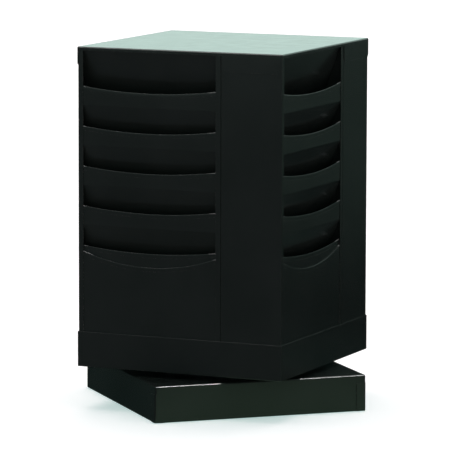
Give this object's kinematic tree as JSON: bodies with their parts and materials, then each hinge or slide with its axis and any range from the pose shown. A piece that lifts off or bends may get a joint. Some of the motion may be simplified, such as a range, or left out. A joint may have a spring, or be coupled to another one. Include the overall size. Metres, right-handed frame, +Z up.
{
  "type": "revolving periodical display rack",
  "caption": "Square sheet-steel tower with slanted scooped magazine pockets on every side, turning on a ball-bearing turntable above a square base.",
  "frame": {"origin": "on the floor under the middle of the base, on the turntable's axis", "axes": "+Z up along the axis the tower turns about; the tower's faces lie along X and Y at rest, and the base is turned about Z"},
  "size_m": [0.505, 0.505, 0.5873],
  "materials": {
    "black_enamel": "semi-gloss baked enamel",
    "zinc_plate": "zinc plated",
    "zinc_fastener": "bright zinc plated",
    "bearing_steel": "polished",
    "cage_brass": "as rolled",
    "rubber_foot": "matt"
  },
  "bodies": {
    "base": {"base_pan": "black_enamel", "base_feet": "rubber_foot", "turntable_lower_plate": "zinc_plate", "lower_bearing_screws": "zinc_fastener", "lower_bearing_nuts": "zinc_fastener"},
    "ball_ring": {"ball_cage": "cage_brass", "bearing_balls": "bearing_steel"},
    "tower": {"turntable_upper_plate": "zinc_plate", "upper_bearing_screws": "zinc_fastener", "upper_bearing_nuts": "zinc_fastener", "rotor_tray": "black_enamel", "lid": "black_enamel", "bay_shell_south": "black_enamel", "back_panel_south": "black_enamel", "lower_panel_south": "black_enamel", "pocket_front_south_1": "black_enamel", "pocket_front_south_2": "black_enamel", "pocket_front_south_3": "black_enamel", "pocket_front_south_4": "black_enamel", "pocket_front_south_5": "black_enamel", "bay_shell_east": "black_enamel", "back_panel_east": "black_enamel", "lower_panel_east": "black_enamel", "pocket_front_east_1": "black_enamel", "pocket_front_east_2": "black_enamel", "pocket_front_east_3": "black_enamel", "pocket_front_east_4": "black_enamel", "pocket_front_east_5": "black_enamel", "bay_shell_north": "black_enamel", "back_panel_north": "black_enamel", "lower_panel_north": "black_enamel", "pocket_front_north_1": "black_enamel", "pocket_front_north_2": "black_enamel", "pocket_front_north_3": "black_enamel", "pocket_front_north_4": "black_enamel", "pocket_front_north_5": "black_enamel", "bay_shell_west": "black_enamel", "back_panel_west": "black_enamel", "lower_panel_west": "black_enamel", "pocket_front_west_1": "black_enamel", "pocket_front_west_2": "black_enamel", "pocket_front_west_3": "black_enamel", "pocket_front_west_4": "black_enamel", "pocket_front_west_5": "black_enamel"}
  },
  "joints": [
    {"name": "tower_turn", "type": "hinge", "parent": "base", "child": "tower", "pos_m": [0, 0, 0.0646], "axis": [0, 0, 1], "continuous": true},
    {"name": "ball_ring_turn", "type": "hinge", "parent": "base", "child": "ball_ring", "pos_m": [0, 0, 0.0646], "axis": [0, 0, 1], "continuous": true}
  ],
  "couplings": [
    {"joint": "ball_ring_turn", "follows": "tower_turn", "ratio": 0.5}
  ]
}
